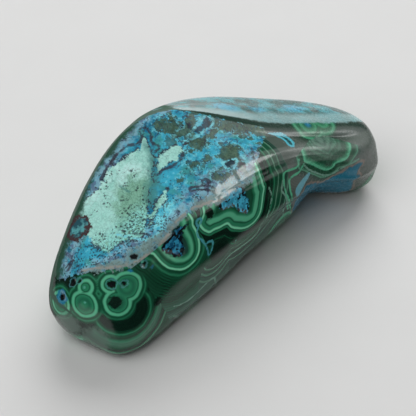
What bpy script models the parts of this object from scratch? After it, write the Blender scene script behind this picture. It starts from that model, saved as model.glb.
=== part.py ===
"""A polished chrysocolla and malachite stone: one natural piece, ground to a long freeform.

The stone lies along X on a flat sole. Eight corner lines run from its blunt near end (-X) to its
narrower far end (+X): over the crest, down the blue face to the double brow, down the banded wall
to the foot, across the sole, and up the back over the shoulder to the crest again. Each station
gives where those lines cross one upright plane. The skin is a smooth surface through that net.
"""

import math

import bpy
import numpy as np

MM = 0.001

# The corner lines, in the order in which a ring round the stone meets them.
CORNERS = ("crest", "upper_brow", "lower_brow", "foot", "sole_front", "sole_back", "back", "shoulder")

# How far a corner line is rounded to each side of itself, in mm.
ROUNDING = {
    "crest": 2.2,
    "upper_brow": 1.8,
    "lower_brow": 1.8,
    "foot": 5.0,
    "sole_front": 2.5,
    "sole_back": 3.5,
    "back": 7.0,
    "shoulder": 5.0,
}
FAR_FOOT_ROUNDING = 1.0
NOOK_PLACE = 21.0

# How far the side after a corner line swells (+) or dips (-) at its middle, in mm.
SWELL = {
    "crest": -0.6,
    "upper_brow": 0.1,
    "lower_brow": 1.8,
    "foot": 0.3,
    "sole_front": 0.0,
    "sole_back": 0.5,
    "back": 0.6,
    "shoulder": 0.3,
}

# Stations: place along X in mm, turn about Z in degrees, then the corners in the order above.
# A corner is (across, height) in its station's plane, or (x, y, z) on the warped near rim.
STATIONS = (
    (-30.0, -20, (-30.8, 3.6, 9.6), (-30.8, -1.2, 12.8), (-27.3, -7.4, 16.0), (-31.2, -10.4, 3.0),
     (-29.2, -8.5, 0.0), (-30.0, 0.6, 0.0), (-31.0, 3.0, 3.4), (-31.2, 3.8, 6.6)),
    (-28.0, -28, (-29.2, 4.5, 12.0), (-29.4, -2.0, 14.6), (-25.0, -8.7, 16.8), (-28.8, -11.8, 3.0),
     (-27.0, -10.0, 0.0), (-28.6, 2.2, 0.0), (-29.0, 4.4, 4.2), (-29.2, 4.9, 8.0)),
    (-24.5, -26, (5.4, 15.0), (-26.6, -6.0, 17.2), (-22.6, -9.6, 17.6), (-24.5, -12.6, 3.0),
     (-23.5, -10.6, 0.0), (3.8, 0.0), (6.8, 6.0), (6.2, 10.6)),
    (-20.0, -19, (5.9, 19.2), (-9.4, 19.5), (-10.8, 18.4), (-12.8, 3.0),
     (-10.5, 0.0), (6.0, 0.0), (9.4, 7.0), (7.8, 13.6)),
    (-15.0, -13, (6.6, 22.8), (-9.6, 20.4), (-11.2, 19.2), (-12.6, 3.0),
     (-10.0, 0.0), (7.5, 0.0), (11.4, 7.5), (9.6, 16.0)),
    (-9.0, -7, (7.2, 26.3), (-9.7, 21.0), (-11.8, 19.4), (-12.2, 3.0),
     (-9.5, 0.0), (9.0, 0.0), (13.0, 8.0), (11.2, 18.5)),
    (-2.0, 0, (5.2, 28.2), (-9.8, 21.4), (-12.2, 18.8), (-11.6, 3.0),
     (-8.5, 0.0), (9.5, 0.0), (14.5, 8.5), (11.4, 22.8)),
    (5.0, 0, (0.4, 25.2), (-10.0, 20.9), (-12.4, 17.4), (-11.4, 3.4),
     (-8.0, 0.0), (9.0, 0.0), (14.5, 9.0), (9.6, 23.4)),
    (11.5, 0, (-4.6, 21.6), (-10.7, 19.0), (-12.5, 16.2), (-11.4, 3.6),
     (-7.5, 0.0), (7.5, 0.0), (12.8, 9.0), (8.8, 21.2)),
    (15.5, 3, (-6.4, 20.0), (-11.5, 17.8), (-13.2, 15.2), (-11.0, 3.6),
     (-7.0, 0.0), (6.0, 0.0), (11.4, 8.8), (7.6, 19.4)),
    (19.5, 6, (-8.0, 18.7), (-12.8, 16.4), (-14.0, 13.9), (-10.0, 4.2),
     (-6.8, 0.0), (4.4, 0.0), (9.6, 8.5), (5.6, 17.5)),
    (23.5, 10, (-9.2, 17.4), (-13.8, 14.9), (-14.9, 12.4), (-11.2, 5.4),
     (-5.6, 0.0), (2.0, 0.0), (7.5, 8.0), (3.4, 15.9)),
    (28.0, 14, (-10.7, 15.9), (-14.9, 13.0), (-15.9, 10.5), (-14.2, 4.6),
     (-11.4, 0.0), (-1.0, 0.0), (4.5, 7.5), (0.6, 14.5)),
    (32.2, 16, (-12.0, 14.8), (-16.0, 11.8), (-16.8, 9.4), (-16.2, 4.8),
     (-14.2, 0.1), (-3.5, 0.3), (2.0, 6.5), (-1.2, 13.0)),
    (35.4, 16, (-12.8, 13.4), (-15.4, 11.2), (-16.4, 9.0), (-16.4, 4.9),
     (-15.2, 0.4), (-5.5, 0.9), (-1.6, 6.0), (-3.4, 11.2)),
)

# Rounds of softening of the rings next to the ends, by the station's place in the list.
END_SOFTENING = {0: 3, 1: 2, 2: 1, 13: 1, 14: 2}

# Ends: the middle of the end face in mm, the way it faces, and its inner rings from the middle
# outwards as (share of the rim's reach, share of the rim's depth, rounds of softening).
NEAR_END = ((-31.9, -3.6, 7.6), (-0.93, -0.25, 0.12), ((0.42, 0.0, 10), (0.86, 0.5, 4)))
FAR_END = ((34.7, -9.0, 6.6), (0.95, -0.25, 0.0), ((0.42, 0.0, 10), (0.84, 0.4, 4)))

# The most of a side that the rounding of one of its corners may use, and a length too small to see.
MOST_ROUNDING = 0.4
TINY = 1e-9

# The faceted solid: rings along the stone, and points in each ring.
RINGS = 60
POINTS_PER_RING = 76

STONE_COLOUR = (0.030, 0.165, 0.135, 1.0)
STONE_ROUGHNESS = 0.12


def clear_scene():
    """Remove every object of the scene."""
    for item in list(bpy.data.objects):
        bpy.data.objects.remove(item, do_unlink=True)


def station_corners(station):
    """The station's eight corners as x, y, z in mm."""
    place, turn = station[0], math.radians(station[1])
    corners = []
    for corner in station[2:]:
        if len(corner) == 2:
            across, height = corner
            corner = (place + across * math.sin(turn), across * math.cos(turn), height)
        corners.append(corner)
    return np.array(corners)


def control_ring(station):
    """Four net points for each corner: before it, on it, after it, and mid-way to the next."""
    turn = math.radians(station[1])
    along = np.array((math.cos(turn), -math.sin(turn), 0.0))
    corners = station_corners(station)
    points = []
    for number, name in enumerate(CORNERS):
        corner = corners[number]
        before = corners[number - 1] - corner
        after = corners[(number + 1) % len(CORNERS)] - corner
        length_before = np.linalg.norm(before)
        length_after = np.linalg.norm(after)
        rounding = ROUNDING[name]
        if name == "foot" and station[0] > NOOK_PLACE:
            rounding = FAR_FOOT_ROUNDING
        outward = np.cross(after, along)
        outward /= np.linalg.norm(outward)
        points.append(corner + before / length_before * min(rounding, MOST_ROUNDING * length_before))
        points.append(corner)
        points.append(corner + after / length_after * min(rounding, MOST_ROUNDING * length_after))
        points.append(corner + after / 2 + outward * SWELL[name])
    return np.array(points)


def soften(ring, rounds):
    """Move each net point half-way to the mean of its two neighbours, so many times."""
    for _ in range(rounds):
        ring = (np.roll(ring, 1, axis=0) + 2 * ring + np.roll(ring, -1, axis=0)) / 4
    return ring


def end_rings(end, rim):
    """The end's middle point as a ring, then its inner rings, which make a flat-topped dome."""
    middle, facing, inner = np.array(end[0]), np.array(end[1]), end[2]
    facing /= np.linalg.norm(facing)
    reach = rim - middle
    depth = (reach @ facing)[:, None] * facing
    rings = [np.tile(middle, (len(rim), 1))]
    for reach_share, depth_share, rounds in inner:
        ring = middle + (reach - depth) * reach_share + depth * depth_share
        rings.append(soften(ring, rounds))
    return rings


def control_net():
    """All rings of net points, from the middle of the near end to the middle of the far end."""
    body = [soften(control_ring(station), END_SOFTENING.get(number, 0))
            for number, station in enumerate(STATIONS)]
    near = end_rings(NEAR_END, body[0])
    far = end_rings(FAR_END, body[-1])
    return np.array(near + body + far[::-1])


def round_weights(count, places):
    """Cubic B-spline weights of a closed row of net points, one line for each place."""
    start = np.floor(places).astype(int)
    part = places - start
    shares = ((1 - part) ** 3, 3 * part ** 3 - 6 * part ** 2 + 4,
              -3 * part ** 3 + 3 * part ** 2 + 3 * part + 1, part ** 3)
    weights = np.zeros((len(places), count))
    for shift, share in enumerate(shares):
        weights[np.arange(len(places)), (start + shift - 1) % count] += share / 6
    return weights


def open_weights(count, places):
    """Cubic B-spline weights of an open row of net points, which meets its first and last one."""
    knots = np.clip(np.arange(count + 4) - 3, 0, count - 3).astype(float)
    places = np.clip(places, 0, count - 3 - TINY)[:, None]
    weights = ((places >= knots[:-1]) & (places < knots[1:])).astype(float)
    for degree in (1, 2, 3):
        left, right = knots[:-degree - 1], knots[degree + 1:]
        rise = np.maximum(knots[degree:-1] - left, TINY)
        fall = np.maximum(right - knots[1:-degree], TINY)
        weights = weights[:, :-1] * (places - left) / rise + weights[:, 1:] * (right - places) / fall
    return weights


def skin_points():
    """Points of the skin in mm, as rings x points x 3; the first and last ring are one point each."""
    net = control_net()
    along = open_weights(len(net), np.linspace(0, len(net) - 3, RINGS))
    around = round_weights(net.shape[1], np.arange(POINTS_PER_RING) * net.shape[1] / POINTS_PER_RING)
    skin = np.einsum("ai,bj,ijk->abk", along, around, net)
    skin[..., 2] = np.maximum(skin[..., 2], 0.0)
    low = skin.min(axis=(0, 1))
    high = skin.max(axis=(0, 1))
    skin[..., :2] -= ((low + high) / 2)[:2]
    return skin


def skin_faces():
    """Triangles of the closed skin, facing out; the two end points are the last two points."""
    first = np.arange(POINTS_PER_RING)
    second = np.roll(first, -1)
    body_rings = RINGS - 2
    near_point = body_rings * POINTS_PER_RING
    far_point = near_point + 1
    last = (body_rings - 1) * POINTS_PER_RING
    faces = [np.stack((np.full_like(first, near_point), second, first), axis=1)]
    for ring in range(body_rings - 1):
        a, b = ring * POINTS_PER_RING + first, ring * POINTS_PER_RING + second
        c, d = b + POINTS_PER_RING, a + POINTS_PER_RING
        faces.append(np.stack((a, b, c), axis=1))
        faces.append(np.stack((a, c, d), axis=1))
    faces.append(np.stack((np.full_like(first, far_point), last + first, last + second), axis=1))
    return np.concatenate(faces)


def stone_material():
    """Polished stone, in the dark green of most of its surface."""
    material = bpy.data.materials.new("polished_stone")
    material.use_nodes = True
    shader = material.node_tree.nodes["Principled BSDF"]
    shader.inputs["Base Color"].default_value = STONE_COLOUR
    shader.inputs["Roughness"].default_value = STONE_ROUGHNESS
    shader.inputs["Metallic"].default_value = 0.0
    return material


def make_stone():
    """The stone, with its origin under the middle of its box, on the plane of its sole."""
    skin = skin_points() * MM
    points = np.concatenate((skin[1:-1].reshape(-1, 3), skin[0, :1], skin[-1, :1]))
    mesh = bpy.data.meshes.new("stone")
    mesh.from_pydata(points.tolist(), [], skin_faces().tolist())
    mesh.shade_smooth()
    mesh.materials.append(stone_material())
    stone = bpy.data.objects.new("stone", mesh)
    bpy.context.scene.collection.objects.link(stone)
    return stone


clear_scene()
make_stone()
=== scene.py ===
"""A polished chrysocolla and malachite stone, made as one fine skin with its mineral pattern.

The skin is a cubic B-spline surface through the stone's net of corner lines. Fields in millimetres,
such as the distance to a shell of malachite or to the edge of the mint field, are worked out at
every point of the skin and kept as attributes. The material turns them into bands, zones and veins.
"""

import math

import bpy
import numpy as np
from bpy.props import FloatProperty, FloatVectorProperty, PointerProperty
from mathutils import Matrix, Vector


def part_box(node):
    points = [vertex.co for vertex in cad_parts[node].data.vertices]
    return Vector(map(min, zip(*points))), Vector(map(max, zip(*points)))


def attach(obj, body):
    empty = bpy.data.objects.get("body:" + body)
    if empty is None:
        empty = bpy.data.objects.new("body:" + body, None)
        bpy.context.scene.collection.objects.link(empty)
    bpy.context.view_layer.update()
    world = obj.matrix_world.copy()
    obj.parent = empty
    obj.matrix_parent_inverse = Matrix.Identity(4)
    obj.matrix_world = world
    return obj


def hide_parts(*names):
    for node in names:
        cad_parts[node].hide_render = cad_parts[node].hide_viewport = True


bl_info = {
    "name": "Polished Malachite Stone",
    "version": (1, 0, 0),
    "blender": (4, 5, 0),
    "location": "View3D > Sidebar > Stone",
    "description": "Makes a polished chrysocolla and malachite stone with its banded pattern",
    "category": "Add Mesh",
}

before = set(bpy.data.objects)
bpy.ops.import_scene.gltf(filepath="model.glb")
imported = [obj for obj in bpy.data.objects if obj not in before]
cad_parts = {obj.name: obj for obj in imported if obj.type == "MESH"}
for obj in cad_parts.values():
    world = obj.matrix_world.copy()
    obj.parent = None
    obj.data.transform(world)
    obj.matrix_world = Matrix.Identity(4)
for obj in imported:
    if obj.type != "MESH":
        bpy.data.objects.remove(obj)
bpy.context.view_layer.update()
MM = 0.001

# ---------------------------------------------------------------------------------------------
# The net of the skin, in mm: stations along the stone, and eight corner lines round it.

CORNERS = ("crest", "upper_brow", "lower_brow", "foot", "sole_front", "sole_back", "back", "shoulder")
# Places round the net, counted in net points: each corner line is the second of its four points.
POINTS_PER_CORNER = 4
PLACES_ROUND = POINTS_PER_CORNER * len(CORNERS)
PLACES = {name: POINTS_PER_CORNER * number + 1 for number, name in enumerate(CORNERS)}

# How far a corner line is rounded to each side of itself.
ROUNDING = {
    "crest": 2.2,
    "upper_brow": 1.8,
    "lower_brow": 1.8,
    "foot": 5.0,
    "sole_front": 2.5,
    "sole_back": 3.5,
    "back": 7.0,
    "shoulder": 5.0,
}
# Beyond this place along X the foot is sharper.
NOOK_PLACE = 21.0
FAR_FOOT_ROUNDING = 1.0
# The largest share of a side that a corner's rounding may take.
MOST_ROUNDING = 0.4

# How far the side after a corner line swells (+) or dips (-) at its middle.
SWELL = {
    "crest": -0.6,
    "upper_brow": 0.1,
    "lower_brow": 1.8,
    "foot": 0.3,
    "sole_front": 0.0,
    "sole_back": 0.5,
    "back": 0.6,
    "shoulder": 0.3,
}

# Stations: place along X, turn about Z in degrees, then the corners in the order above.
# A corner is (across, height) in its station's plane, or (x, y, z) on the warped near rim.
STATIONS = (
    (-30.0, -20, (-30.8, 3.6, 9.6), (-30.8, -1.2, 12.8), (-27.3, -7.4, 16.0), (-31.2, -10.4, 3.0),
     (-29.2, -8.5, 0.0), (-30.0, 0.6, 0.0), (-31.0, 3.0, 3.4), (-31.2, 3.8, 6.6)),
    (-28.0, -28, (-29.2, 4.5, 12.0), (-29.4, -2.0, 14.6), (-25.0, -8.7, 16.8), (-28.8, -11.8, 3.0),
     (-27.0, -10.0, 0.0), (-28.6, 2.2, 0.0), (-29.0, 4.4, 4.2), (-29.2, 4.9, 8.0)),
    (-24.5, -26, (5.4, 15.0), (-26.6, -6.0, 17.2), (-22.6, -9.6, 17.6), (-24.5, -12.6, 3.0),
     (-23.5, -10.6, 0.0), (3.8, 0.0), (6.8, 6.0), (6.2, 10.6)),
    (-20.0, -19, (5.9, 19.2), (-9.4, 19.5), (-10.8, 18.4), (-12.8, 3.0),
     (-10.5, 0.0), (6.0, 0.0), (9.4, 7.0), (7.8, 13.6)),
    (-15.0, -13, (6.6, 22.8), (-9.6, 20.4), (-11.2, 19.2), (-12.6, 3.0),
     (-10.0, 0.0), (7.5, 0.0), (11.4, 7.5), (9.6, 16.0)),
    (-9.0, -7, (7.2, 26.3), (-9.7, 21.0), (-11.8, 19.4), (-12.2, 3.0),
     (-9.5, 0.0), (9.0, 0.0), (13.0, 8.0), (11.2, 18.5)),
    (-2.0, 0, (5.2, 28.2), (-9.8, 21.4), (-12.2, 18.8), (-11.6, 3.0),
     (-8.5, 0.0), (9.5, 0.0), (14.5, 8.5), (11.4, 22.8)),
    (5.0, 0, (0.4, 25.2), (-10.0, 20.9), (-12.4, 17.4), (-11.4, 3.4),
     (-8.0, 0.0), (9.0, 0.0), (14.5, 9.0), (9.6, 23.4)),
    (11.5, 0, (-4.6, 21.6), (-10.7, 19.0), (-12.5, 16.2), (-11.4, 3.6),
     (-7.5, 0.0), (7.5, 0.0), (12.8, 9.0), (8.8, 21.2)),
    (15.5, 3, (-6.4, 20.0), (-11.5, 17.8), (-13.2, 15.2), (-11.0, 3.6),
     (-7.0, 0.0), (6.0, 0.0), (11.4, 8.8), (7.6, 19.4)),
    (19.5, 6, (-8.0, 18.7), (-12.8, 16.4), (-14.0, 13.9), (-10.0, 4.2),
     (-6.8, 0.0), (4.4, 0.0), (9.6, 8.5), (5.6, 17.5)),
    (23.5, 10, (-9.2, 17.4), (-13.8, 14.9), (-14.9, 12.4), (-11.2, 5.4),
     (-5.6, 0.0), (2.0, 0.0), (7.5, 8.0), (3.4, 15.9)),
    (28.0, 14, (-10.7, 15.9), (-14.9, 13.0), (-15.9, 10.5), (-14.2, 4.6),
     (-11.4, 0.0), (-1.0, 0.0), (4.5, 7.5), (0.6, 14.5)),
    (32.2, 16, (-12.0, 14.8), (-16.0, 11.8), (-16.8, 9.4), (-16.2, 4.8),
     (-14.2, 0.1), (-3.5, 0.3), (2.0, 6.5), (-1.2, 13.0)),
    (35.4, 16, (-12.8, 13.4), (-15.4, 11.2), (-16.4, 9.0), (-16.4, 4.9),
     (-15.2, 0.4), (-5.5, 0.9), (-1.6, 6.0), (-3.4, 11.2)),
)

# Rounds of softening of the rings next to the ends, by the station's place in the list.
END_SOFTENING = {0: 3, 1: 2, 2: 1, 13: 1, 14: 2}

# Ends: the middle of the end face, the way it faces, and its inner rings from the middle outwards
# as (share of the rim's reach, share of the rim's depth, rounds of softening).
NEAR_END = ((-31.9, -3.6, 7.6), (-0.93, -0.25, 0.12), ((0.42, 0.0, 10), (0.86, 0.5, 4)))
FAR_END = ((34.7, -9.0, 6.6), (0.95, -0.25, 0.0), ((0.42, 0.0, 10), (0.84, 0.4, 4)))

# The fine skin: rings along it, points in each, and the share of points that hidden sides get.
RINGS = 256
POINTS_PER_RING = 380
HIDDEN_SHARE = 0.45
# The coarse skin that the fine one's even steps are measured on.
COARSE_ALONG, COARSE_ROUND = 400, 641
# Waves of the polish as (size in mm, seed, height as a share of the relief).
BROAD_WAVES = (7.0, 3, 1.0)
FINER_WAVES = (3.4, 5, 0.5)
BROW_WAVES = (2.4, 8, 0.9)
LATTICE = 64
# The waves along the brow, in places from the crest.
BROW_MIDDLE, BROW_WIDTH = 5.5, 2.0
# Pits and pockets in mm: depth, how far outside the edge they start, and the width of their slope.
PIT_DEPTH, PIT_START, PIT_SLOPE = 0.35, 0.3, 0.4
POCKET_DEPTH, POCKET_START, POCKET_SLOPE = 0.12, 0.2, 0.8
# The waves start at this height over the sole and are full this much higher.
CALM_HEIGHT, CALM_SLOPE = 0.3, 2.0
TINY = 1e-9

# ---------------------------------------------------------------------------------------------
# The pattern, in mm. ABOVE outlines are x, y on the upper face; FRONT ones are x, z on the wall.

BLUE_FACE = (
    (-31.6, 3.2), (-30.8, 5.2), (-26.8, 7.6), (-23.4, 8.6), (-19.4, 9.6), (-15.5, 9.8), (-11.8, 9.8),
    (-7.6, 9.8), (-4.0, 8.6), (-1.1, 5.4), (1.7, 2.4), (4.7, -0.6), (8.1, -3.0), (9.9, -4.2),
    (9.8, -5.6), (7.8, -6.3), (6.6, -7.2), (4.4, -8.3), (2.2, -9.2), (0.2, -10.4), (-3.3, -10.2),
    (-7.5, -10.4), (-9.6, -9.8), (-12.8, -8.9), (-16.2, -8.6), (-20.3, -8.9), (-24.1, -8.3),
    (-27.0, -6.6), (-29.0, -4.0), (-30.4, -0.9), (-31.2, 1.4))
MINT_FIELD = (
    (-8.8, 5.1), (-9.4, 3.3), (-10.6, 1.6), (-12.5, 0.0), (-14.6, -1.3), (-16.7, -2.7), (-18.9, -4.2),
    (-21.4, -5.8), (-23.1, -4.0), (-24.6, -3.0), (-26.4, -2.4), (-26.0, 0.4), (-25.6, 2.2),
    (-25.0, 4.4), (-23.3, 6.4), (-21.2, 5.9), (-19.4, 5.5), (-17.5, 5.9), (-15.5, 5.9), (-13.4, 5.2),
    (-11.6, 4.4), (-10.2, 4.3))
MINT_LOBE = (
    (-10.7, 0.5), (-9.2, 1.3), (-7.2, 1.2), (-5.6, 0.5), (-5.8, -0.5), (-7.2, -1.0), (-9.0, -0.7),
    (-11.0, -0.3))
MINT_SLIVER = (
    (-12.5, -2.9), (-13.1, -3.8), (-14.8, -4.5), (-17.4, -4.9), (-19.4, -5.5), (-19.0, -4.7),
    (-16.9, -4.0), (-14.4, -3.3))
SAGE_ZONE = (
    (-13.4, -0.2), (-15.5, -2.8), (-19.3, -5.4), (-21.5, -4.1), (-21.1, -1.1), (-19.4, 1.3),
    (-17.3, 2.2), (-14.9, 1.6))
DEEP_TROUGH = (
    (-9.5, 3.6), (-10.0, 1.9), (-11.5, 0.4), (-12.5, -1.0), (-14.4, -2.2), (-16.5, -3.0), (-15.7, -1.5),
    (-14.0, -0.5), (-12.0, 1.0), (-10.3, 2.2))
AZURE_STREAK = (
    (-18.1, -4.8), (-15.4, -4.6), (-13.8, -4.6), (-14.4, -6.0), (-17.0, -6.5), (-19.0, -7.1),
    (-19.2, -5.5))
OLIVE_PATCHES = (
    ((-5.8, 5.3), (-4.5, 5.1), (-3.5, 4.0), (-2.9, 2.8), (-3.8, 2.5), (-5.3, 3.0), (-6.1, 4.2)),
    ((-3.9, -0.8), (-2.1, -0.7), (-1.0, -1.3), (-2.4, -2.1), (-4.2, -2.1), (-4.9, -1.7)),
    ((-6.3, -2.8), (-5.2, -3.2), (-5.6, -4.0), (-6.9, -4.0), (-7.3, -3.6)),
    ((-10.1, -3.6), (-9.1, -3.7), (-9.4, -4.1), (-10.9, -4.1)),
    ((1.8, 0.6), (2.5, -0.7), (4.0, -2.2), (6.6, -4.0), (9.1, -5.6), (11.4, -6.0), (10.2, -4.6),
     (7.1, -2.7), (4.7, -0.8), (3.1, 0.6)),
    ((-0.5, -4.3), (1.3, -3.9), (2.5, -5.1), (1.8, -6.4), (0.7, -7.7), (0.7, -8.8), (-0.4, -9.5),
     (-0.5, -8.3), (-0.5, -6.8), (-1.5, -5.6)),
    ((-5.8, -7.2), (-3.9, -7.3), (-2.9, -8.4), (-1.7, -8.4), (-1.7, -9.1), (-3.7, -8.6), (-5.3, -8.3)),
)
# Blue islands in the olive ground of the right half.
AZURE_PATCHES = (
    ((-0.9, -1.9), (1.3, -1.5), (4.2, -2.5), (5.1, -4.0), (7.6, -4.6), (8.2, -6.2), (5.5, -7.6),
     (2.9, -8.0), (0.9, -8.4), (1.1, -7.0), (3.2, -5.7), (1.8, -4.7), (-0.6, -4.7), (-0.9, -3.3)),
    ((-5.3, -3.9), (-3.7, -4.3), (-2.2, -5.3), (-3.0, -6.5), (-5.3, -6.9), (-6.8, -6.8), (-7.1, -5.3)),
    ((1.3, 1.7), (3.2, 1.3), (3.2, 0.3), (4.7, -0.6), (2.8, -0.3), (1.4, -0.6), (-1.4, -0.8),
     (-1.0, 0.8)),
    ((-2.9, -1.8), (-2.3, -3.1), (-1.2, -4.1), (-2.1, -4.4), (-3.3, -3.3), (-4.4, -3.1)),
    ((-0.7, -7.8), (0.6, -8.1), (0.3, -8.9), (-1.0, -9.3), (-2.2, -9.3)),
    ((-4.0, 8.6), (-2.0, 6.4), (0.2, 3.6), (-1.2, 3.0), (-2.4, 5.0), (-4.6, 6.6)),
)
# The pale blue leaf beyond the blue face.
LEAF = (
    (10.2, -5.6), (12.5, -6.5), (13.3, -7.5), (13.0, -9.0), (12.1, -9.7), (11.4, -8.9), (11.7, -7.6),
    (11.3, -6.5))
NAVY_PATCHES = (
    ((-1.7, 2.0), (-0.9, 1.5), (-1.5, 0.9), (0.0, 0.8), (1.8, 1.0), (2.7, 0.6), (2.2, 0.0),
     (-0.7, -0.2), (-1.5, 0.0)),
    ((-2.1, -6.4), (0.0, -7.1), (-1.5, -7.7), (-2.4, -7.4)),
)
TEAL_EYE = (((-25.3, 4.7), 1.9),)
PALE_LINES = (
    ((-4.7, 0.4), (-3.4, -0.3), (-1.4, -0.4), (2.0, -0.3), (3.0, 0.5), (2.4, 1.3), (0.9, 1.1),
     (-2.0, 0.6), (-3.6, 0.5)),
    ((-2.4, -6.2), (0.2, -7.0), (-1.5, -7.9), (-2.7, -7.4), (-2.4, -6.2)),
    ((-23.1, -1.7), (-22.6, -3.9), (-22.0, -6.0), (-20.9, -7.1), (-18.9, -7.5), (-16.7, -7.3)),
)
PURPLE_LINES = (
    ((-18.2, 6.1), (-15.7, 6.4), (-13.8, 6.4), (-11.8, 6.0), (-10.4, 5.1), (-9.1, 5.1), (-8.6, 6.2),
     (-7.5, 5.7), (-7.6, 4.5), (-8.5, 3.6), (-8.1, 2.2), (-9.2, 2.2)),
    ((-22.2, -2.0), (-21.7, -4.1), (-20.9, -5.8), (-20.8, -6.4)),
    ((-3.9, -0.3), (-5.3, -0.2), (-6.3, -1.2), (-7.7, -1.5), (-9.6, -1.1), (-10.8, -0.5),
     (-12.0, -0.5)),
    ((-10.5, -6.4), (-10.2, -5.9), (-9.0, -6.6), (-7.8, -7.5), (-7.0, -8.7), (-7.4, -9.1), (-8.0, -8.2),
     (-9.3, -7.1), (-10.5, -6.4)),
    ((-7.8, -6.4), (-6.9, -6.5), (-6.9, -7.3), (-7.4, -7.3)),
    ((-0.7, -8.2), (0.3, -8.1), (0.3, -8.7), (-0.9, -8.8), (-1.2, -8.5)),
    ((-30.1, 2.8), (-29.4, 2.5), (-29.5, 2.2), (-30.4, 2.3)),
)
MINT_CRACK = ((-16.6, 5.1), (-17.1, 4.2), (-17.0, 2.5), (-16.8, 1.2))

# Blue pockets in the wall, and the bright thin shell round each, both closed over the brow.
POCKET_A = (
    (-14.1, 18.9), (-15.7, 18.0), (-16.3, 16.5), (-16.7, 14.8), (-18.2, 14.5), (-19.7, 15.8),
    (-20.6, 17.2), (-19.1, 18.0), (-17.4, 19.0))
POCKET_B = (
    (-7.9, 19.6), (-7.9, 18.0), (-6.6, 17.6), (-4.8, 17.0), (-4.1, 15.8), (-2.8, 14.5), (-1.8, 14.4),
    (-1.5, 16.0), (-2.0, 17.7), (-2.1, 18.9), (-2.1, 21.5), (-5.0, 22.0))
SHELL_A = (
    (-22.5, 18.2), (-22.1, 16.9), (-21.4, 15.4), (-20.5, 14.0), (-19.2, 12.8), (-17.5, 12.1),
    (-15.7, 12.2), (-14.3, 13.1), (-13.6, 14.7), (-13.5, 16.5), (-13.9, 18.3), (-13.7, 19.8),
    (-15.0, 24.0), (-19.0, 24.0))
SHELL_B = (
    (-11.4, 19.0), (-12.5, 17.7), (-11.4, 15.7), (-10.1, 15.5), (-8.8, 15.2), (-7.7, 15.1),
    (-7.0, 14.9), (-6.3, 13.8), (-4.7, 12.7), (-3.0, 11.8), (-0.7, 11.6), (0.7, 12.6), (1.6, 14.2),
    (2.1, 15.3), (2.5, 16.4), (2.2, 17.6), (2.0, 24.0), (-8.0, 24.0))
SHELL_FAR = (
    (12.9, 16.2), (13.4, 15.3), (16.0, 12.9), (17.6, 11.5), (18.9, 11.3), (19.2, 12.2), (20.2, 12.2),
    (21.6, 12.1), (22.2, 12.4), (22.7, 12.7), (24.0, 14.0), (24.0, 20.0), (15.0, 20.0))
# The far end of the dark core's arcs, low between the two pockets.
CORE_SHELLS = (((-9.5, -11.8, 11.3), 1.6),)
# Shells round single nuclei: the middle in x, y, z, and the radius of the bright shell.
EYES = (
    ((-32.4, -2.9, 10.2), 2.2), ((-32.1, -2.5, 13.2), 1.4), ((-29.4, -5.8, 14.0), 1.35),
    ((-27.8, -7.9, 13.6), 2.3), ((-29.7, -7.4, 11.3), 2.1), ((-33.4, 1.4, 8.6), 1.9))
SCALLOPS = (((18.7, -7.3, 17.7), 2.9), ((21.9, -8.0, 17.3), 2.6))
BACK_NUCLEI = (
    ((-20.0, 7.0, 6.0), 3.0), ((-10.0, 11.0, 13.0), 4.0), ((2.0, 13.5, 5.0), 4.5),
    ((12.0, 12.0, 13.0), 3.5), ((20.0, 7.0, 5.0), 4.0), ((29.0, 1.0, 9.0), 3.0),
    ((-24.0, 4.0, 1.0), 4.0), ((0.0, 0.0, -3.0), 5.0), ((14.0, -2.0, -2.0), 4.0),
    ((-14.0, -4.0, -2.0), 4.0), ((35.0, -10.0, 3.0), 3.0), ((9.0, -11.0, 2.0), 2.0))
# Where the painted reflection of the floor lies grey on the near end's foot.
NEAR_FOOT = (((-32.0, -5.0, 4.2), 2.4), ((-33.6, -0.5, 5.4), 2.0))
# The shells that close round all the near end's eyes share one middle.
NEAR_SHELLS = (((-28.0, -6.6, 9.2), 0.0),)
DARK_SPOTS = (
    ((-28.0, -7.5, 14.1), 0.45), ((-29.4, -6.1, 14.1), 0.7), ((-33.2, 1.4, 9.8), 0.6),
    ((-24.9, -6.9, 17.7), 0.75), ((-24.2, -8.6, 16.3), 0.5), ((-31.8, 0.2, 12.6), 0.55),
    ((-31.3, -0.9, 13.2), 0.4))
DEEP_CORES = (
    ((-30.1, -7.3, 11.5), 1.25), ((-23.6, -10.6, 9.1), 0.9), ((-10.3, -10.2, 18.5), 1.1),
    ((-9.5, -11.8, 11.3), 1.4))
PALE_DOTS = (
    ((-32.5, -3.0, 10.6), 0.22), ((-31.7, -2.3, 12.9), 0.2), ((-5.5, -11.8, 10.6), 0.22),
    ((-3.0, -11.4, 8.9), 0.2), ((-24.3, -8.2, 16.6), 0.3), ((-23.6, -9.4, 15.6), 0.35))
BLUE_CORES = (
    ((-33.2, 1.4, 9.8), 1.3), ((-26.4, -7.6, 15.8), 0.45), ((-23.4, -9.3, 15.3), 0.5))
TOP_BACK_BLUES = (
    ((22.0, -1.3), 1.9), ((9.5, 3.0), 2.0), ((14.5, 0.5), 1.2), ((-1.0, 9.0), 1.6))
RIM_LINE = (
    (-31.5, 5.1), (-29.6, 5.9), (-26.7, 6.5), (-23.1, 7.5), (-19.3, 8.7), (-15.7, 9.2), (-12.5, 9.5),
    (-9.2, 9.5), (-5.0, 9.8), (-2.0, 8.8))
VEIN_LINES = (
    ((-13.0, 17.4), (-13.2, 18.4), (-12.6, 18.8), (-12.2, 18.5), (-12.2, 18.0), (-13.0, 17.4),
     (-13.5, 16.2), (-12.5, 14.0), (-12.1, 11.7), (-10.9, 13.5), (-11.6, 14.1), (-12.5, 14.0)),
)
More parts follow.
